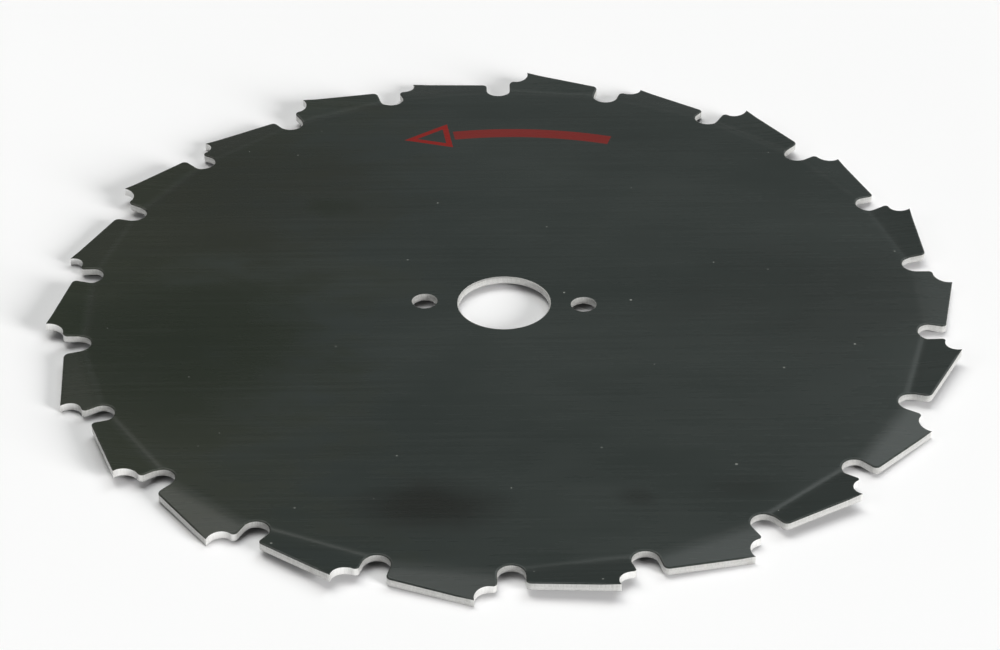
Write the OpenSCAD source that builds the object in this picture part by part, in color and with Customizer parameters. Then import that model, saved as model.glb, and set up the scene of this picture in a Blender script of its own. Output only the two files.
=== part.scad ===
// Saw blade for a brush cutter: one steel sheet with chisel teeth on its rim,
// each second tooth bent up and the others bent down.
// The origin is in the middle of the bore and of the sheet, +Z is the printed
// side, and the two pin holes lie on the X axis. Seen from +Z the blade turns
// anticlockwise, so each tooth's point is at its anticlockwise end.

/* [Disc] */
// Diameter over the points of the teeth
outer_d = 200; // [180:1:230]
// Thickness of the steel sheet
sheet_t = 1.8; // [1.4:0.1:2.5]
// Diameter of the bore
bore_d = 20; // [16:0.1:25.4]
// Broken edge round each end of the bore
bore_break = 0.25; // [0.1:0.05:0.4]

/* [Pin holes] */
// Diameter of the two holes for the drive pins
pin_hole_d = 5.5; // [4:0.1:7]
// Diameter of the circle that the pin holes lie on
pin_circle_d = 35; // [34:0.5:60]

/* [Teeth] */
// Number of teeth, even so that up and down alternate all round
teeth = 22; // [20:2:24]
// Angle of the first gullet from the X axis
first_gullet_a = 11.7; // [0:0.1:16]
// Slope of a tooth's back, from the tip circle's tangent at its point
relief_a = 16.5; // [13:0.5:18]
// Radius of the corner where a tooth's back meets the gullet behind it
heel_r = 1.2; // [0.6:0.1:1.6]

/* [Gullets] */
// Width of a gullet, which is also the diameter of its round bottom
gullet_w = 5.6; // [5:0.1:6.2]
// Depth of a gullet, in from the tip circle
gullet_depth = 9.7; // [9:0.1:12]

/* [Filed faces] */
// Diameter of the round file that hollows out the front of each tooth
file_d = 5.9; // [5.4:0.1:6.3]
// Distance of the file's middle from the middle line of the gullet
file_offset = 4.4; // [4.1:0.1:4.7]
// Distance of the file's middle in from the tip circle
file_drop = 0.9; // [0.6:0.05:1.2]
// Radius of the shoulder between the filed face and the gullet
shoulder_r = 0.9; // [0.5:0.1:1.1]

/* [Set] */
// Height that a tooth's point is bent up or down
tooth_set = 0.9; // [0.5:0.1:1.4]
// Distance of the bend line in from the tip circle
bend_depth = 7.9; // [7:0.1:8.4]
// Radius of the bend, at the middle of the sheet
bend_r = 17; // [6:1:20]

/* [Hidden] */
$fn = 180;
eps = 0.01;
steel = [0.22, 0.24, 0.23];
tip_r = outer_d / 2;
pitch_a = 360 / teeth;
half_a = pitch_a / 2;
gullet_r = gullet_w / 2;
file_r = file_d / 2;

// Points below are in a gullet's frame, where +Y is its middle line pointing
// outwards, or in a tooth's frame, turned half a pitch from it.
gullet_c = [0, tip_r - gullet_depth + gullet_r];
file_c = [file_offset, tip_r - file_drop];

// The point is where the file's circle crosses the tip circle
file_far = norm(file_c);
tip_a = atan2(file_c.x, file_c.y)
    + acos((tip_r ^ 2 + file_far ^ 2 - file_r ^ 2) / (2 * file_far * tip_r));
tip_p = tip_r * [sin(tip_a), cos(tip_a)];

// The tooth's back is a straight line down from the point
back_a = tip_a + relief_a;
back_along = [cos(back_a), -sin(back_a)];
back_out = [sin(back_a), cos(back_a)];
back_len = tip_r * sin(pitch_a - tip_a);
back_clear = 2 * file_r;

// The shoulder touches the gullet's wall and the file's circle
shoulder_dx = gullet_r + shoulder_r - file_c.x;
shoulder_c = file_c + [shoulder_dx, -sqrt((file_r + shoulder_r) ^ 2 - shoulder_dx ^ 2)];

// The heel touches the gullet's other wall and the back of its tooth, which
// starts at the point one pitch further on
heel_tip = tip_r * [sin(tip_a - pitch_a), cos(tip_a - pitch_a)];
heel_out = [sin(back_a - pitch_a), cos(back_a - pitch_a)];
heel_x = -gullet_r - heel_r;
heel_c = [heel_x, (heel_out * heel_tip - heel_r - heel_out.x * heel_x) / heel_out.y];
heel_clear = 1.5 * heel_r;

// The set turns the tooth about the bend line, which an arc rounds off
bend_y = tip_r - bend_depth;
set_a = atan(tooth_set / (tip_r * cos(half_a - tip_a) - bend_y));
bend_run = bend_r * tan(set_a / 2);
bend_steps = 4;
flat_y = bend_y - bend_run;
strip_w = 2 * flat_y * tan(half_a) - gullet_r;
strip_lap = 2;
strip_over = 0.5;
web_short = 0.4;
plate_len = bend_depth - bend_run + strip_over;
cut_h = 2 * (plate_len * sin(set_a) + sheet_t);

// Flat middle of the blade, with one side for each tooth
module web() {
    corner_r = (flat_y - web_short) / cos(half_a);
    linear_extrude(sheet_t, center = true)
        polygon([for (i = [0:teeth - 1])
            corner_r * [cos(first_gullet_a + i * pitch_a), sin(first_gullet_a + i * pitch_a)]]);
}

// One long side of the bent strip's section, at a height from its middle
function set_side(h) = let (arc_r = bend_r - h, end_run = plate_len * [cos(set_a), sin(set_a)])
    [
        [flat_y - strip_lap, h],
        for (k = [0:bend_steps])
            let (a = set_a * k / bend_steps)
            [flat_y + arc_r * sin(a), bend_r - arc_r * cos(a)],
        [flat_y + arc_r * sin(set_a), bend_r - arc_r * cos(set_a)] + end_run,
    ];

// Blank of one tooth, bent up, which laps over the edge of the web
module set_strip() {
    upper = set_side(sheet_t / 2);
    lower = set_side(-sheet_t / 2);
    rotate([90, 0, 90])
        linear_extrude(strip_w, center = true)
            polygon([for (i = [0:len(lower) - 1]) lower[i], for (i = [len(upper) - 1:-1:0]) upper[i]]);
}

// Corner between the filed face and the gullet, left of the shoulder's round
module shoulder_waste() {
    difference() {
        polygon([[0, shoulder_c.y], shoulder_c, file_c, [0, file_c.y]]);
        translate(shoulder_c) circle(shoulder_r);
    }
}

// Corner between the gullet and a tooth's back, outside the heel's round
module heel_waste() {
    difference() {
        polygon([
            heel_c,
            heel_c + heel_clear * heel_out,
            heel_c + heel_clear * (heel_out + [1, 0]),
            heel_c + [heel_clear, 0],
        ]);
        translate(heel_c) circle(heel_r);
    }
}

// What is cut away at one gullet, and above the back of the tooth after it
module gullet_waste() {
    slot_len = tip_r + back_clear - gullet_c.y;
    translate(gullet_c) circle(gullet_r);
    translate(gullet_c - [gullet_r, 0]) square([gullet_w, slot_len]);
    translate(file_c) circle(file_r);
    shoulder_waste();
    heel_waste();
    polygon([
        tip_p - tip_p.x * back_along,
        tip_p + back_len * back_along,
        tip_p + back_len * back_along + back_clear * back_out,
        tip_p - tip_p.x * back_along + back_clear * back_out,
    ]);
}

// Round hole through the sheet
module through_hole(d) {
    cylinder(h = 2 * sheet_t, d = d, center = true);
}

// Bore with both its edges broken
module bore() {
    break_h = bore_break + eps;
    through_hole(bore_d);
    for (side = [0, 1])
        mirror([0, 0, side])
            translate([0, 0, sheet_t / 2 - bore_break])
                cylinder(h = break_h, d1 = bore_d, d2 = bore_d + 2 * break_h);
}

// The whole blade
module blade() {
    color(steel)
        difference() {
            union() {
                web();
                for (i = [0:teeth - 1])
                    rotate([0, 0, first_gullet_a + (i + 0.5) * pitch_a - 90])
                        mirror([0, 0, i % 2])
                            set_strip();
            }
            for (i = [0:teeth - 1])
                rotate([0, 0, first_gullet_a + i * pitch_a - 90])
                    linear_extrude(cut_h, center = true)
                        gullet_waste();
            bore();
            for (side = [-1, 1])
                translate([side * pin_circle_d / 2, 0, 0])
                    through_hole(pin_hole_d);
        }
}

blade();
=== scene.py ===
# Brush cutter blade on a white table, as photographed.
# The shape is worked out in millimetres in the part's own frame: the origin is
# in the middle of the bore and of the sheet, +Z is the printed side, and the two
# pin holes lie on X. Seen from +Z the blade turns anticlockwise.
import math

import bpy
from mathutils import Matrix, Vector, geometry, kdtree


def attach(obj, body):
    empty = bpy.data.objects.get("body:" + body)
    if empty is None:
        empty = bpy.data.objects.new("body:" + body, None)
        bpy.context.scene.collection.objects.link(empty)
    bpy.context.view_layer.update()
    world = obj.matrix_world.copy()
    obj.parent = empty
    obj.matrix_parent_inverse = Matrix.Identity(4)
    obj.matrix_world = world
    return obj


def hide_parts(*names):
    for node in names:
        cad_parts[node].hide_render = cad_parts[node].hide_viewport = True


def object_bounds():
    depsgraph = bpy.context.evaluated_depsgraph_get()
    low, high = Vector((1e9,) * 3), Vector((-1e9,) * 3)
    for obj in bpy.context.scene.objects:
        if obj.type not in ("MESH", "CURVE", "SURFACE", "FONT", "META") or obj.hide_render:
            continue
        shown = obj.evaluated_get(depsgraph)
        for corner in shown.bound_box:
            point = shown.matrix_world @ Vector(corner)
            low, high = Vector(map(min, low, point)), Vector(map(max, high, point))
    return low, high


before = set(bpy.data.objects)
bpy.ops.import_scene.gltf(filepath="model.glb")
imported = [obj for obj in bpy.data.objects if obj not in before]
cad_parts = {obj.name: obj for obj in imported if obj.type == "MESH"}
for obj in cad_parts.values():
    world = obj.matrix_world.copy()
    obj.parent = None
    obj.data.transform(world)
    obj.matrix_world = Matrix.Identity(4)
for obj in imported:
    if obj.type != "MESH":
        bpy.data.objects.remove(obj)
cad_low, cad_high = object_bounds()
MM = 0.001

# Disc
OUTER_D = 200.0
SHEET_T = 1.8
BORE_D = 20.0
BORE_BREAK = 0.25
PIN_HOLE_D = 5.5
PIN_CIRCLE_D = 35.0

# Teeth
TEETH = 22
FIRST_GULLET_A = math.radians(11.7)
RELIEF_A = math.radians(16.5)
HEEL_R = 1.2

# Gullets
GULLET_W = 5.6
GULLET_DEPTH = 9.7

# Filed faces
FILE_D = 5.9
FILE_OFFSET = 4.4
FILE_DROP = 0.9
SHOULDER_R = 0.9

# Set
TOOTH_SET = 0.9
BEND_DEPTH = 7.9
BEND_R = 17.0
BEND_RUN = 4.4

# Shallow groove that the setting tool leaves on the hollow side of a bend, and
# half the width of the paler line painted along it: stretched coat, and a painted highlight
GROOVE_AT = 0.30
GROOVE_HALF = 0.95
GROOVE_DEEP = 0.115
CREASE_HALF = 0.7

# Edges: how wide each kind is, and how deep it goes for each millimetre of width.
# The punched edge narrows to the filed one over the last stretch before a tooth's point
PUNCHED_EDGE = 0.42
FILED_EDGE = 0.08
LOWER_EDGE = 0.10
HOLE_EDGE = 0.16
UPPER_DROP = 0.75
LOWER_DROP = 0.8
HOLE_DROP = 0.7
TIP_RUN = 3.5

# Arrow printed on the upper face: its head's corners and the shaft's arc
HEAD = (Vector((-27.0, 68.1)), Vector((-15.2, 65.3)), Vector((-17.3, 75.9)))
HEAD_LINE = 1.35
SHAFT_C = Vector((1.6, -9.6))
SHAFT_R = 82.0
SHAFT_W = 3.7
SHAFT_FROM = math.radians(101.9)
SHAFT_TO = math.radians(75.6)

# Ink: 1 is opaque
HEAD_INK = 1.0
SHAFT_INK = 0.75
SHAFT_STEPS = 28

# Fineness of the mesh: steps along the rim, points round the holes, rings of points
# over the web as radius and count, and rows of points over, before and after each bend
ARC_STEP = 0.24
BACK_STEP = 0.8
BORE_POINTS = 240
PIN_HOLE_POINTS = 72
WEB_RINGS = ((13, 40), (24, 44), (35, 52), (48, 66), (62, 88), (76, 110), (86, 176))
BEND_ROWS = 9
ROWS_BEFORE = 7
ROWS_AFTER = 5
BEND_SPACING = 1.1
RIM_CLEARANCE = 0.3

# Material slots of the mesh
COAT = 0
STEEL = 1

TIP_R = OUTER_D / 2
PITCH_A = 2 * math.pi / TEETH
HALF_A = PITCH_A / 2
GULLET_R = GULLET_W / 2
FILE_R = FILE_D / 2


def polar(radius, angle):
    """Point at an angle from +Y towards +X, as the gullets' own frames use."""
    return Vector((radius * math.sin(angle), radius * math.cos(angle)))


# The same construction as the solid's, in a gullet's frame: +Y is its middle
# line pointing outwards, and +X is clockwise
GULLET_C = Vector((0.0, TIP_R - GULLET_DEPTH + GULLET_R))
FILE_C = Vector((FILE_OFFSET, TIP_R - FILE_DROP))
FILE_FAR = FILE_C.length
TIP_A = math.atan2(FILE_C.x, FILE_C.y) + math.acos(
    (TIP_R**2 + FILE_FAR**2 - FILE_R**2) / (2 * FILE_FAR * TIP_R)
)
TIP_P = polar(TIP_R, TIP_A)
BACK_A = TIP_A + RELIEF_A
BACK_OUT = polar(1.0, BACK_A)
SHOULDER_DX = GULLET_R + SHOULDER_R - FILE_C.x
SHOULDER_C = FILE_C + Vector(
    (SHOULDER_DX, -math.sqrt((FILE_R + SHOULDER_R) ** 2 - SHOULDER_DX**2))
)
HEEL_TIP = polar(TIP_R, TIP_A - PITCH_A)
HEEL_OUT = polar(1.0, BACK_A - PITCH_A)
HEEL_X = -GULLET_R - HEEL_R
HEEL_C = Vector(
    (HEEL_X, (HEEL_OUT.dot(HEEL_TIP) - HEEL_R - HEEL_OUT.x * HEEL_X) / HEEL_OUT.y)
)
BEND_Y = TIP_R - BEND_DEPTH
SET_A = math.atan(TOOTH_SET / (TIP_R * math.cos(HALF_A - TIP_A) - BEND_Y))
FLAT_Y = BEND_Y - BEND_R * math.tan(SET_A / 2)
SET_SLOPE = math.tan(SET_A)


def turned(v, angle):
    """v turned anticlockwise."""
    c = math.cos(angle)
    s = math.sin(angle)
    return Vector((v.x * c - v.y * s, v.x * s + v.y * c))


def tooth_at(p):
    """Direction of the tooth that p belongs to, and 1 if it is bent up or -1 if down."""
    turn = (math.atan2(p.y, p.x) - FIRST_GULLET_A) / PITCH_A
    number = math.floor(turn) % TEETH
    middle = FIRST_GULLET_A + (number + 0.5) * PITCH_A
    return Vector((math.cos(middle), math.sin(middle))), 1 - 2 * (number % 2)


def surface(p, side):
    """Height and upward normal of the sheet's upper (1) or lower (-1) face at p.

    Heights are worked out as if the tooth were bent up, and turned over if it isn't.
    """
    along, way = tooth_at(p)
    run = p.dot(along) - FLAT_Y
    h = way * side * SHEET_T / 2
    u = (p.dot(along) - BEND_Y) / BEND_RUN + 0.5
    if u < 1:
        u = max(0.0, u)
        rise = SET_SLOPE * u * u * (3 - 2 * u)
        z = SET_SLOPE * BEND_RUN * u**3 * (1 - u / 2)
    else:
        rise = SET_SLOPE
        z = SET_SLOPE * BEND_RUN * (u - 0.5)
    z += h * math.sqrt(1 + rise * rise)
    if h > 0:
        far = (run - GROOVE_AT) / GROOVE_HALF
        dip = GROOVE_DEEP * math.exp(-far * far)
        z -= dip
        rise += dip * 2 * far / GROOVE_HALF
    lean = -way * rise
    return way * z, Vector((lean * along.x, lean * along.y, 1.0)).normalized()


def crease_at(p):
    """1 along the start of a bend, falling to 0 either side: where the paler line of stretched coat and
    painted highlight goes.
    """
    along, _ = tooth_at(p)
    run = p.dot(along) - FLAT_Y
    return math.exp(-(((run - GROOVE_AT) / CREASE_HALF) ** 2))


# A loop is a closed row of rim points with the sheet on its left. Each point has
# its place, the outward normals before and after it, the way into the sheet, the
# width of its rounded edge, and how far it belongs to a filed face.
class Rim:
    def __init__(self):
        self.points = []
        self.before = []
        self.after = []
        self.edge = []
        self.filed = []

    def add(self, p, before, after, edge, filed):
        self.points.append(p)
        self.before.append(before)
        self.after.append(after)
        self.edge.append(edge)
        self.filed.append(filed)

    def inward(self, k):
        total = self.before[k] + self.after[k]
        return -total / (1 + self.before[k].dot(self.after[k]))


def arc_points(centre, radius, start, end, hollow):
    """Points and normals along an arc, from the angle start to the angle end."""
    count = max(2, math.ceil(abs(end - start) * radius / ARC_STEP))
    made = []
    for k in range(count + 1):
        angle = start + (end - start) * k / count
        out = Vector((math.cos(angle), math.sin(angle)))
        made.append((centre + radius * out, -out if hollow else out))
    return made


def one_gullet():
    """Rim of one pitch: filed face, gullet, heel and back, up to the next point."""
    tip_angle = math.atan2(TIP_P.y - FILE_C.y, TIP_P.x - FILE_C.x)
    meet = SHOULDER_C - FILE_C
    meet_angle = math.atan2(meet.y, meet.x)
    heel_angle = math.atan2(HEEL_OUT.y, HEEL_OUT.x)
    filed = arc_points(FILE_C, FILE_R, tip_angle, meet_angle, True)
    shoulder = arc_points(SHOULDER_C, SHOULDER_R, meet_angle + math.pi, math.pi, False)
    bottom = arc_points(GULLET_C, GULLET_R, 0.0, -math.pi, True)
    heel = arc_points(HEEL_C, HEEL_R, 0.0, heel_angle, False)
    made = [(TIP_P, BACK_OUT, filed[0][1], FILED_EDGE, 1.0)]
    for p, n in filed[1:-1]:
        made.append((p, n, n, FILED_EDGE, 1.0))
    for k, (p, n) in enumerate(shoulder):
        share = k / (len(shoulder) - 1)
        width = FILED_EDGE + (PUNCHED_EDGE - FILED_EDGE) * share
        made.append((p, n, n, width, 1.0 - share))
    for p, n in bottom:
        made.append((p, n, n, PUNCHED_EDGE, 0.0))
    for p, n in heel:
        made.append((p, n, n, PUNCHED_EDGE, 0.0))
    start = HEEL_C + HEEL_R * HEEL_OUT
    span = HEEL_TIP - start
    count = math.ceil(span.length / BACK_STEP)
    for k in range(1, count):
        p = start + span * k / count
        left = (HEEL_TIP - p).length
        width = FILED_EDGE + (PUNCHED_EDGE - FILED_EDGE) * min(1.0, left / TIP_RUN)
        made.append((p, HEEL_OUT, HEEL_OUT, width, 0.0))
    return made


def blade_rim():
    rim = Rim()
    pitch = one_gullet()
    for j in range(TEETH):
        angle = FIRST_GULLET_A + j * PITCH_A - math.pi / 2
        for p, before, after, edge, filed in pitch:
            rim.add(turned(p, angle), turned(before, angle), turned(after, angle), edge, filed)
    return rim


def hole_rim(x, radius, count, edge):
    rim = Rim()
    for k in range(count):
        angle = -2 * math.pi * k / count
        out = Vector((math.cos(angle), math.sin(angle)))
        rim.add(Vector((x, 0.0)) + radius * out, -out, -out, edge, 0.0)
    return rim


def rounded(drop):
    """Profile of an edge that is drawn down: how far in, how deep, and the lean of its normal."""
    made = []
    for degrees in (0, 22, 42, 60, 76, 90):
        t = math.radians(degrees)
        lean = math.atan2(drop * math.sin(t), math.cos(t))
        made.append((1 - math.sin(t), drop * (1 - math.cos(t)), lean))
    return made


def broken():
    """Profile of a broken edge of 45 degrees with softened corners."""
    return [(1.08, 0.0, 0.0), (0.9, 0.08, math.pi / 4), (0.08, 0.9, math.pi / 4), (0.0, 1.1, math.pi / 2)]


# Arrow
def inset_triangle(corners, distance):
    made = []
    for k in range(3):
        a = (corners[k] - corners[k - 1]).normalized()
        b = (corners[(k + 1) % 3] - corners[k]).normalized()
        side_a = Vector((-a.y, a.x))
        side_b = Vector((-b.y, b.x))
        made.append(corners[k] + (side_a + side_b) * distance / (1 + side_a.dot(side_b)))
    return made


def in_triangle(p, corners):
    for k in range(3):
        edge = corners[(k + 1) % 3] - corners[k]
        to_p = p - corners[k]
        if edge.x * to_p.y - edge.y * to_p.x < 0:
            return False
    return True


HEAD_HOLLOW = inset_triangle(HEAD, HEAD_LINE)


def shaft_outline():
    """Out along the shaft's inner arc, and back along its outer one."""
    made = []
    shares = [k / SHAFT_STEPS for k in range(SHAFT_STEPS + 1)]
    for radius, row in ((SHAFT_R - SHAFT_W / 2, shares), (SHAFT_R + SHAFT_W / 2, shares[::-1])):
        for share in row:
            angle = SHAFT_TO + (SHAFT_FROM - SHAFT_TO) * share
            made.append(SHAFT_C + radius * Vector((math.cos(angle), math.sin(angle))))
    return made


def ink_at(p):
    """How thick the arrow's ink is at p: its head is a thick outline, its shaft a thinner band."""
    if in_triangle(p, HEAD) and not in_triangle(p, HEAD_HOLLOW):
        return HEAD_INK
    to_p = p - SHAFT_C
    angle = math.atan2(to_p.y, to_p.x)
    if abs(to_p.length - SHAFT_R) < SHAFT_W / 2 and SHAFT_TO < angle < SHAFT_FROM:
        return SHAFT_INK
    return 0.0


# Mesh
class Shape:
    def __init__(self):
        self.verts = []
        self.faces = []
        self.normals = []
        self.kinds = []
        self.crease = []
        self.depth = []
        self.filed = []
        self.wear = []
        self.ink = []

    def vert(self, p, z, crease=0.0, depth=0.0, filed=0.0, wear=0.0):
        self.verts.append((p.x * MM, p.y * MM, z * MM))
        self.crease.append(crease)
        self.depth.append(depth)
        self.filed.append(filed)
        self.wear.append(wear)
        return len(self.verts) - 1

    def face(self, corners, normals, kind, ink=0.0):
        self.faces.append(corners)
        self.normals.extend(normals)
        self.kinds.append(kind)
        self.ink.append(ink)


def tilted(wall, up, lean):
    """Normal between the face's own, at 0, and the wall's, at a right angle."""
    flat = Vector((wall.x, wall.y, 0.0))
    return (flat * math.sin(lean) + up * math.cos(lean)).normalized()


def edge_rings(rim, side, profile, widest):
    """Rings of (place, height, normal of the face, lean) over one rounded edge, the face's first."""
    rings = []
    for far, deep, lean in profile:
        ring = []
        for k, point in enumerate(rim.points):
            width = min(rim.edge[k], widest)
            p = point + rim.inward(k) * (width * far)
            z, up = surface(p, side)
            ring.append((p, z - side * width * deep, side * up, lean))
        rings.append(ring)
    return rings


def build_walls(shape, rim, upper, lower, widest_lower, coated):
    """The strips from the upper face, over both edges and the wall, to the lower face.

    Gives back the places and vertices of the first ring, on the upper face, and of
    the last, on the lower one.
    """
    top_rings = edge_rings(rim, 1, upper, max(rim.edge))
    low_rings = edge_rings(rim, -1, lower, widest_lower)
    middle = []
    for share in (0.33, 0.66):
        ring = []
        for point, (_, z_top, up, _), (_, z_low, _, _) in zip(rim.points, top_rings[-1], low_rings[-1]):
            ring.append((point, z_top + (z_low - z_top) * share, up, math.pi / 2))
        middle.append(ring)
    ordered = top_rings + middle + low_rings[::-1]
    last = len(ordered) - 1
    index = []
    for n, ring in enumerate(ordered):
        row = []
        wear = min(1.0, n / (len(upper) - 1), (last - n) / (len(lower) - 1))
        for k, (p, z, _, _) in enumerate(ring):
            z_top = top_rings[0][k][1]
            z_low = low_rings[0][k][1]
            depth = min(1.0, max(0.0, (z_top - z) / (z_top - z_low)))
            row.append(shape.vert(p, z, crease_at(p), depth, rim.filed[k], wear))
        index.append(row)
    count = len(rim.points)
    for n in range(last):
        kind = COAT if n < coated or n >= last - coated else STEEL
        for k in range(count):
            j = (k + 1) % count
            corners = ((n, k, rim.after[k]), (n + 1, k, rim.after[k]),
                       (n + 1, j, rim.before[j]), (n, j, rim.before[j]))
            normals = []
            for m, q, wall in corners:
                _, _, up, lean = ordered[m][q]
                normals.append(tilted(wall, up, lean))
            shape.face([index[m][q] for m, q, _ in corners], normals, kind)
    first_places = [place for place, _, _, _ in ordered[0]]
    last_places = [place for place, _, _, _ in ordered[last]]
    return (first_places, index[0]), (last_places, index[last])


def inner_points():
    """Points within the faces: rings over the web, and rows that follow each bend."""
    made = []
    for radius, count in WEB_RINGS:
        for k in range(count):
            angle = 2 * math.pi * k / count
            made.append(Vector((radius * math.cos(angle), radius * math.sin(angle))))
    end = (BEND_R + SHEET_T / 2) * math.sin(SET_A)
    for i in range(TEETH):
        middle = FIRST_GULLET_A + (i + 0.5) * PITCH_A
        along = Vector((math.cos(middle), math.sin(middle)))
        across = Vector((-along.y, along.x))
        for row in range(-ROWS_BEFORE, BEND_ROWS + ROWS_AFTER + 1):
            y = FLAT_Y + end * row / BEND_ROWS
            reach = y * math.tan(HALF_A)
            steps = math.ceil(2 * reach / BEND_SPACING)
            for k in range(steps + 1):
                made.append(along * y + across * (reach * (2 * k / steps - 1)))
    return made


def closed(first, count):
    """Edges that join count points in a ring, from the point first on."""
    return [(first + k, first + (k + 1) % count) for k in range(count)]


def build_face(shape, loops, side, marks):
    """Fills a face between its loops: the rim first, then the holes, each as places and vertices.

    A triangle with all its corners on one hole's loop lies in that hole, and is left out.
    """
    coords = []
    fixed = []
    owner = []
    edges = []
    for number, (points, index) in enumerate(loops):
        edges.extend(closed(len(coords), len(points)))
        coords.extend(points)
        fixed.extend(index)
        owner.extend([number] * len(points))
    for points in marks:
        edges.extend(closed(len(coords), len(points)))
        coords.extend(points)
    tree = kdtree.KDTree(len(coords))
    for k, p in enumerate(coords):
        tree.insert((p.x, p.y, 0.0), k)
    tree.balance()
    for p in inner_points():
        _, _, distance = tree.find((p.x, p.y, 0.0))
        if distance > RIM_CLEARANCE:
            coords.append(p)
    places, _, triangles, origins, _, _ = geometry.delaunay_2d_cdt(coords, edges, [], 1, 1e-5)

    # For each place, the loop's point it was made from, or None
    held = []
    for made_of in origins:
        on_loop = [k for k in made_of if k < len(fixed)]
        held.append(on_loop[0] if on_loop else None)

    def in_hole(corners):
        if any(held[c] is None for c in corners):
            return False
        owners = {owner[held[c]] for c in corners}
        return len(owners) == 1 and owners != {0}

    index = {}
    normals = {}
    for corners in triangles:
        if in_hole(corners):
            continue
        for c in corners:
            if c in index:
                continue
            z, up = surface(places[c], side)
            normals[c] = side * up
            if held[c] is not None:
                index[c] = fixed[held[c]]
            else:
                depth = 0.0 if side == 1 else 1.0
                index[c] = shape.vert(places[c], z, crease_at(places[c]), depth)
        order = corners if side == 1 else corners[::-1]
        middle = sum((places[c] for c in corners), Vector((0.0, 0.0))) / 3
        ink = ink_at(middle) if marks else 0.0
        shape.face([index[c] for c in order], [normals[c] for c in order], COAT, ink)


def build_blade():
    shape = Shape()
    tops = []
    lows = []
    pin = rounded(HOLE_DROP)
    rims = [(blade_rim(), rounded(UPPER_DROP), rounded(LOWER_DROP), LOWER_EDGE, 4)]
    rims.append((hole_rim(0.0, BORE_D / 2, BORE_POINTS, BORE_BREAK), broken(), broken(), BORE_BREAK, 0))
    for x in (-PIN_CIRCLE_D / 2, PIN_CIRCLE_D / 2):
        rims.append((hole_rim(x, PIN_HOLE_D / 2, PIN_HOLE_POINTS, HOLE_EDGE), pin, pin, HOLE_EDGE, 2))
    for rim, upper, lower, widest_lower, coated in rims:
        top, low = build_walls(shape, rim, upper, lower, widest_lower, coated)
        tops.append(top)
        lows.append(low)
    build_face(shape, tops, 1, [list(HEAD), HEAD_HOLLOW, shaft_outline()])
    build_face(shape, lows, -1, [])
    mesh = bpy.data.meshes.new("saw_blade")
    mesh.from_pydata(shape.verts, [], shape.faces)
    mesh.polygons.foreach_set("use_smooth", [True] * len(shape.faces))
    mesh.polygons.foreach_set("material_index", shape.kinds)
    for name, values in (("crease", shape.crease), ("depth", shape.depth),
                         ("filed", shape.filed), ("wear", shape.wear)):
        mesh.attributes.new(name, "FLOAT", "POINT").data.foreach_set("value", values)
    corner_ink = []
    for value, corners in zip(shape.ink, shape.faces):
        corner_ink.extend([value] * len(corners))
    mesh.attributes.new("ink", "FLOAT", "CORNER").data.foreach_set("value", corner_ink)
    mesh.normals_split_custom_set([tuple(n) for n in shape.normals])
    blade = bpy.data.objects.new("saw_blade", mesh)
    bpy.context.scene.collection.objects.link(blade)
    return blade


# Materials
class Nodes:
    """Short way to build the node tree of a material or a world."""

    def __init__(self, owner, coords="Object"):
        owner.use_nodes = True
        self.owner = owner
        self.tree = owner.node_tree
        self.tree.nodes.clear()
        self.coords = self.add("ShaderNodeTexCoord").outputs[coords]

    def add(self, kind, settings=None, **inputs):
        """Makes a node. An input is named with __ for a space, or numbered as _0, _1 and so on."""
        node = self.tree.nodes.new(kind)
        for key, value in (settings or {}).items():
            setattr(node, key, value)
        for key, value in inputs.items():
            socket = node.inputs[int(key[1:])] if key[0] == "_" else node.inputs[key.replace("__", " ")]
            self.set(socket, value)
        return node

    def set(self, socket, value):
        if isinstance(value, bpy.types.NodeSocket):
            self.tree.links.new(value, socket)
        else:
            socket.default_value = value

    def math(self, operation, a, b):
        return self.add("ShaderNodeMath", {"operation": operation}, _0=a, _1=b).outputs[0]

    def attribute(self, name):
        return self.add("ShaderNodeAttribute", {"attribute_name": name}).outputs["Fac"]

    def stretched(self, turn, lengths):
        """Coordinates turned about Z, in which each length, in mm, is one unit."""
        turned_by = self.add("ShaderNodeMapping", _0=self.coords, Rotation=(0.0, 0.0, turn))
        scale = tuple(1.0 / (MM * length) for length in lengths)
        return self.add("ShaderNodeMapping", _0=turned_by.outputs[0], Scale=scale).outputs[0]

    def noise(self, coords, detail=2.0, rough=0.5):
        node = self.add("ShaderNodeTexNoise", Vector=coords, Scale=1.0, Detail=detail, Roughness=rough)
        return node.outputs[0]

    def ramp(self, value, low, high, to_low=0.0, to_high=1.0, curve="LINEAR"):
        node = self.add("ShaderNodeMapRange", {"clamp": True, "interpolation_type": curve}, Value=value,
                        From__Min=low, From__Max=high, To__Min=to_low, To__Max=to_high)
        return node.outputs[0]

    def seen(self):
        """1 where the surface or the world shows, directly, in a reflection or through glass."""
        path = self.add("ShaderNodeLightPath").outputs
        shown = self.math("MAXIMUM", path["Is Camera Ray"], path["Is Glossy Ray"])
        return self.math("MAXIMUM", shown, path["Is Transmission Ray"])

    def mix(self, share, a, b):
        """Colour between a, at 0, and b, at 1."""
        return self.add("ShaderNodeMix", {"data_type": "RGBA"}, _0=share, _6=a, _7=b).outputs[2]

    def bump(self, height, distance, **normal):
        return self.add("ShaderNodeBump", Height=height, Distance=distance, Strength=1.0, **normal).outputs[0]

    def finish(self, colour, roughness, normal, **constants):
        shader = self.add("ShaderNodeBsdfPrincipled", Base__Color=colour, Roughness=roughness, Normal=normal,
                          **constants)
        self.add("ShaderNodeOutputMaterial", Surface=shader.outputs[0])
        return self.owner


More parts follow.
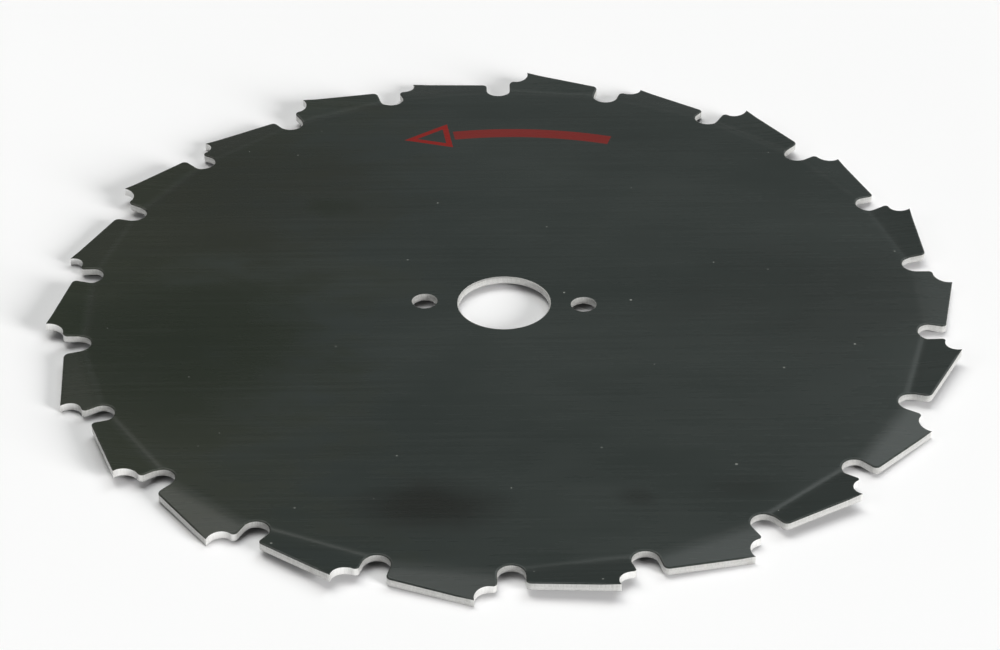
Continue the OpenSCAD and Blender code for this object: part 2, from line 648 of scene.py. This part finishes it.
COAT_TONE = (0.0190, 0.0258, 0.0232, 1.0)
COAT_PALE = (0.0265, 0.0340, 0.0310, 1.0)
# Painted shade: the coat's colour towards -X, darker and olive, where less of the lamps' sheen falls
COAT_LEFT_SHADE = (0.0190, 0.0235, 0.0135, 1.0)
SMUDGE_GREEN = (0.0070, 0.0125, 0.0055, 1.0)
SMUDGE_DARK = (0.0070, 0.0085, 0.0065, 1.0)
# Pale colour of scuffs and streaks, and of the painted highlight along the bends
SCUFF_AND_HIGHLIGHT_PALE = (0.060, 0.066, 0.062, 1.0)
EDGE_GREY = (0.13, 0.13, 0.12, 1.0)
INK_RED = (0.205, 0.006, 0.003, 1.0)
DUST = (0.30, 0.31, 0.29, 1.0)
ROLLING_A = math.radians(-2.9)

# Soft darker patches on the printed face, small smudges and broad patches over the left, upper left and
# right: middle, half lengths, strength and colour
SMUDGES = (
    ((-72.0, -18.0), (50.0, 44.0), 0.90, SMUDGE_GREEN),
    ((-62.0, 44.0), (52.0, 44.0), 0.35, SMUDGE_DARK),
    ((-12.0, -72.0), (21.0, 11.0), 0.85, SMUDGE_DARK),
    ((-42.0, 38.0), (8.0, 6.0), 0.40, SMUDGE_GREEN),
    ((30.0, -68.0), (5.0, 4.0), 0.40, SMUDGE_DARK),
    ((52.0, -64.0), (12.0, 6.0), 0.30, SMUDGE_DARK),
    ((70.0, 4.0), (44.0, 30.0), 0.25, SMUDGE_DARK),
)


def smudge(n, place, half, breakup):
    """1 in the middle of a soft-edged patch, 0 outside it."""
    move = tuple(-MM * value for value in place) + (0.0,)
    moved = n.add("ShaderNodeVectorMath", {"operation": "ADD"}, _0=n.coords, _1=move).outputs[0]
    scale = (1.0 / (MM * half[0]), 1.0 / (MM * half[1]), 0.0)
    sized = n.add("ShaderNodeVectorMath", {"operation": "MULTIPLY"}, _0=moved, _1=scale).outputs[0]
    far = n.add("ShaderNodeVectorMath", {"operation": "LENGTH"}, _0=sized).outputs["Value"]
    ragged = n.math("ADD", far, n.ramp(breakup, 0.3, 0.7, 0.25, -0.25))
    return n.ramp(ragged, 1.0, 0.15, curve="SMOOTHSTEP")


def coated_face():
    """Thin satin grey-green coat on rolled sheet, with streaks, smudges, specks and the arrow, painted shade
    that makes the left side darker and olive, and a paler line along each bend that is partly a painted
    highlight.
    """
    n = Nodes(bpy.data.materials.new("satin_coat"))
    broad = n.noise(n.stretched(ROLLING_A, (70, 38, 60)), detail=3.0, rough=0.55)
    cloud = n.noise(n.stretched(ROLLING_A, (26, 15, 30)), detail=4.0, rough=0.6)
    fine = n.noise(n.stretched(ROLLING_A, (60, 1.1, 20)), detail=4.0, rough=0.6)
    hair = n.noise(n.stretched(ROLLING_A, (22, 0.30, 12)), detail=2.0, rough=0.6)
    grain = n.noise(n.stretched(0.0, (0.35, 0.35, 0.35)), detail=3.0, rough=0.6)
    tone = n.mix(n.ramp(broad, 0.38, 0.66), COAT_TONE, COAT_PALE)
    # Painted shade: from 20 mm left of the middle on, the coat turns darker and olive, with a ragged border
    across = n.add("ShaderNodeSeparateXYZ", _0=n.coords).outputs["X"]
    across = n.math("ADD", across, n.ramp(cloud, 0.3, 0.7, 25 * MM, -25 * MM))
    tone = n.mix(n.ramp(across, -20 * MM, -80 * MM, 0.0, 0.9), tone, COAT_LEFT_SHADE)
    printed = n.math("SUBTRACT", 1.0, n.attribute("depth"))
    for place, half, strength, colour in SMUDGES:
        patch = n.math("MULTIPLY", smudge(n, place, half, cloud), n.math("MULTIPLY", printed, strength))
        tone = n.mix(patch, tone, colour)
    tone = n.mix(n.ramp(fine, 0.46, 0.30, 0.0, 0.15), tone, SMUDGE_DARK)
    lines = n.math("MULTIPLY", n.ramp(fine, 0.52, 0.74), n.ramp(cloud, 0.25, 0.7, 0.25, 1.0))
    tone = n.mix(n.math("MULTIPLY", lines, 0.09), tone, SCUFF_AND_HIGHLIGHT_PALE)
    tone = n.mix(n.ramp(hair, 0.62, 0.80, 0.0, 0.11), tone, SCUFF_AND_HIGHLIGHT_PALE)
    # Paler line along each bend: stretched coat, and a painted highlight of the bend
    crease = n.math("MULTIPLY", n.attribute("crease"), n.ramp(fine, 0.25, 0.7, 0.25, 1.0))
    tone = n.mix(n.math("MULTIPLY", crease, 0.20), tone, SCUFF_AND_HIGHLIGHT_PALE)
    worn = n.math("MULTIPLY", n.ramp(n.attribute("wear"), 0.15, 0.75), n.ramp(grain, 0.42, 0.62))
    tone = n.mix(n.math("MULTIPLY", worn, 0.55), tone, EDGE_GREY)
    ink = n.math("MULTIPLY", n.attribute("ink"), n.ramp(grain, 0.22, 0.42, 0.55, 1.0))
    tone = n.mix(ink, tone, INK_RED)
    cells = n.add("ShaderNodeTexVoronoi", {"feature": "F1", "voronoi_dimensions": "2D"},
                  Vector=n.stretched(0.3, (13, 13, 13)), Scale=1.0)
    split = n.add("ShaderNodeSeparateColor", Color=cells.outputs["Color"])
    near = n.math("LESS_THAN", cells.outputs["Distance"], n.ramp(split.outputs[1], 0.0, 1.0, 0.008, 0.022))
    speck = n.math("MULTIPLY", near, n.ramp(split.outputs[0], 0.80, 0.81))
    tone = n.mix(n.math("MULTIPLY", speck, n.ramp(split.outputs[2], 0.0, 1.0, 0.25, 1.0)), tone, DUST)
    rough = n.ramp(cloud, 0.3, 0.7, 0.24, 0.29)
    rough = n.math("ADD", rough, n.ramp(fine, 0.4, 0.8, 0.0, 0.03))
    sheet = n.bump(n.noise(n.stretched(0.4, (34, 34, 34)), detail=1.0), 0.00006)
    lines_bump = n.bump(fine, 0.0000018, Normal=sheet)
    normal = n.bump(grain, 0.000003, Normal=lines_bump)
    return n.finish(tone, rough, normal, Metallic=0.0, Specular__IOR__Level=0.25)


STEEL_FILED = (0.90, 0.90, 0.885, 1.0)
STEEL_BRIGHT = (0.83, 0.83, 0.815, 1.0)
STEEL_DULL = (0.57, 0.57, 0.55, 1.0)
STEEL_STAIN = (0.34, 0.33, 0.305, 1.0)


def cut_steel():
    """Bare steel of the punched and filed walls, with the marks that punch and file leave."""
    n = Nodes(bpy.data.materials.new("cut_steel"))
    depth = n.attribute("depth")
    filed = n.attribute("filed")
    drag = n.noise(n.stretched(0.0, (0.22, 0.22, 3.2)), detail=3.0, rough=0.55)
    tear = n.noise(n.stretched(0.0, (0.35, 0.35, 0.25)), detail=4.0, rough=0.6)
    patch = n.noise(n.stretched(0.0, (4.0, 4.0, 4.0)), detail=2.0)
    edge = n.math("ADD", depth, n.ramp(patch, 0.3, 0.7, -0.10, 0.10))
    torn = n.math("MULTIPLY", n.ramp(edge, 0.42, 0.58), n.math("SUBTRACT", 1.0, filed))
    sheared_tone = n.mix(n.ramp(drag, 0.3, 0.7, 0.0, 0.6), STEEL_DULL, STEEL_BRIGHT)
    torn_tone = n.mix(n.ramp(tear, 0.3, 0.7, 0.35, 1.0), STEEL_DULL, STEEL_BRIGHT)
    tone = n.mix(torn, sheared_tone, torn_tone)
    tone = n.mix(n.math("MULTIPLY", filed, n.ramp(drag, 0.2, 0.6, 0.6, 1.0)), tone, STEEL_FILED)
    tone = n.mix(n.ramp(patch, 0.58, 0.74, 0.0, 0.30), tone, STEEL_STAIN)
    rough = n.ramp(drag, 0.3, 0.7, 0.54, 0.44)
    rough = n.math("ADD", rough, n.math("MULTIPLY", torn, 0.10))
    rough = n.math("SUBTRACT", rough, n.math("MULTIPLY", filed, 0.14))
    height = n.mix(torn, drag, tear)
    normal = n.bump(height, 0.000015)
    return n.finish(tone, rough, normal, Metallic=0.65)


TABLE_WHITE = (0.95, 0.95, 0.96, 1.0)
TABLE_PALE = (0.965, 0.965, 0.975, 1.0)
TABLE_BOUNCE = (0.35, 0.35, 0.35, 1.0)


def table_top():
    """Smooth white table, which throws less light back on the blade than it shows."""
    n = Nodes(bpy.data.materials.new("white_table"))
    soft = n.noise(n.stretched(0.0, (160, 160, 160)), detail=2.0)
    tone = n.mix(n.ramp(soft, 0.3, 0.7), TABLE_WHITE, TABLE_PALE)
    tone = n.mix(n.seen(), TABLE_BOUNCE, tone)
    grain = n.noise(n.stretched(0.0, (0.8, 0.8, 0.8)), detail=2.0)
    return n.finish(tone, 0.55, n.bump(grain, 0.000002), Metallic=0.0, Specular__IOR__Level=0.2)


# Camera, fitted to the blade's outline in the photograph
VIEW_TURN = math.radians(2.9)
VIEW_RISE = math.radians(34.29)
VIEW_ROLL = math.radians(-0.519)
VIEW_FAR = 634.5
VIEW_AT = Vector((-0.92, -8.63, 0.0))
VIEW_FOCAL = 2886.0
VIEW_WIDTH = 1000.0
SENSOR = 36.0


def place_camera():
    spin = Matrix.Rotation(VIEW_TURN, 3, "Z")
    lift = Vector((0.0, 0.0, SHEET_T / 2))
    eye = spin @ Vector((0.0, -VIEW_FAR * math.cos(VIEW_RISE), VIEW_FAR * math.sin(VIEW_RISE))) + lift
    aim = spin @ VIEW_AT + lift
    ahead = (aim - eye).normalized()
    level = ahead.cross(Vector((0.0, 0.0, 1.0))).normalized()
    upright = level.cross(ahead)
    c = math.cos(VIEW_ROLL)
    s = math.sin(VIEW_ROLL)
    right = level * c + upright * s
    top = upright * c - level * s
    turn = Matrix((right, top, -ahead)).transposed().to_4x4()
    data = bpy.data.cameras.new("camera")
    data.sensor_fit = "HORIZONTAL"
    data.sensor_width = SENSOR
    data.lens = VIEW_FOCAL * SENSOR / VIEW_WIDTH
    data.clip_start = 0.01
    data.clip_end = 50.0
    camera = bpy.data.objects.new("camera", data)
    camera.matrix_world = Matrix.Translation(eye * MM) @ turn
    bpy.context.scene.collection.objects.link(camera)
    bpy.context.scene.camera = camera


# Lamps, each as azimuth from +X and rise, both in degrees, width, strength and
# colour. The key throws the shadows at the left and lights the front edges, and
# the windows and the one overhead are what the coat reflects
LAMPS = {
    "key": (-33, 14, 24, 5.0, (1.0, 0.99, 0.98)),
    "fill": (210, 28, 24, 0.35, (1.0, 1.0, 1.0)),
    "window": (60, 47.6, 30, 0.65, (0.97, 1.0, 1.0)),
    "far_window": (129, 54.3, 34, 0.80, (1.0, 1.0, 0.95)),
    "overhead": (101, 68.7, 34, 0.61, (1.0, 1.0, 1.0)),
}

# Room: strength of its walls and ceiling, and the shares of it that are left on
# the camera's side and in diffuse light. The walls end at a rise of 37 to 44 degrees
ROOM_WALL = 0.27
ROOM_CEILING = 0.015
ROOM_FRONT = 0.5
ROOM_DIFFUSE = 0.4
WALL_TOP = (0.60, 0.69)
FRONT_TO_BACK = (-0.5, 0.2)


def hang_lamps():
    """The key isn't seen in reflections: from low behind, it would hide the coat in glare."""
    for name, (azimuth, rise, width, strength, colour) in LAMPS.items():
        data = bpy.data.lights.new(name, "SUN")
        data.angle = math.radians(width)
        data.energy = strength
        data.color = colour
        lamp = bpy.data.objects.new(name, data)
        a = math.radians(azimuth)
        e = math.radians(rise)
        towards = Vector((math.cos(a) * math.cos(e), math.sin(a) * math.cos(e), math.sin(e)))
        lamp.rotation_euler = towards.to_track_quat("Z", "Y").to_euler()
        lamp.visible_glossy = name != "key"
        bpy.context.scene.collection.objects.link(lamp)


def light_room():
    world = bpy.data.worlds.new("room")
    n = Nodes(world, "Generated")
    towards = n.add("ShaderNodeSeparateXYZ", _0=n.coords).outputs
    wall = n.ramp(towards["Z"], *WALL_TOP, ROOM_WALL, ROOM_CEILING)
    side = n.ramp(towards["Y"], *FRONT_TO_BACK, ROOM_FRONT, 1.0)
    light = n.math("MULTIPLY", wall, side)
    light = n.math("MULTIPLY", light, n.ramp(n.seen(), 0.0, 1.0, ROOM_DIFFUSE, 1.0))
    background = n.add("ShaderNodeBackground", Color=(1.0, 1.0, 1.0, 1.0), Strength=light)
    n.add("ShaderNodeOutputWorld", Surface=background.outputs[0])
    bpy.context.scene.world = world


TABLE_HALF = 3.0
TABLE_GAP = 0.00001


def lay_table():
    """A table top just under the points that are bent down."""
    level = cad_low[2] - TABLE_GAP
    corners = [(x * TABLE_HALF, y * TABLE_HALF, level) for x, y in ((-1, -1), (1, -1), (1, 1), (-1, 1))]
    mesh = bpy.data.meshes.new("table")
    mesh.from_pydata(corners, [], [(0, 1, 2, 3)])
    mesh.materials.append(table_top())
    table = bpy.data.objects.new("table", mesh)
    bpy.context.scene.collection.objects.link(table)


place_camera()
lay_table()
light_room()
hang_lamps()

blade = build_blade()
blade.data.materials.append(coated_face())
blade.data.materials.append(cut_steel())
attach(blade, "root")
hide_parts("blade")

bpy.context.scene.view_settings.view_transform = "Standard"
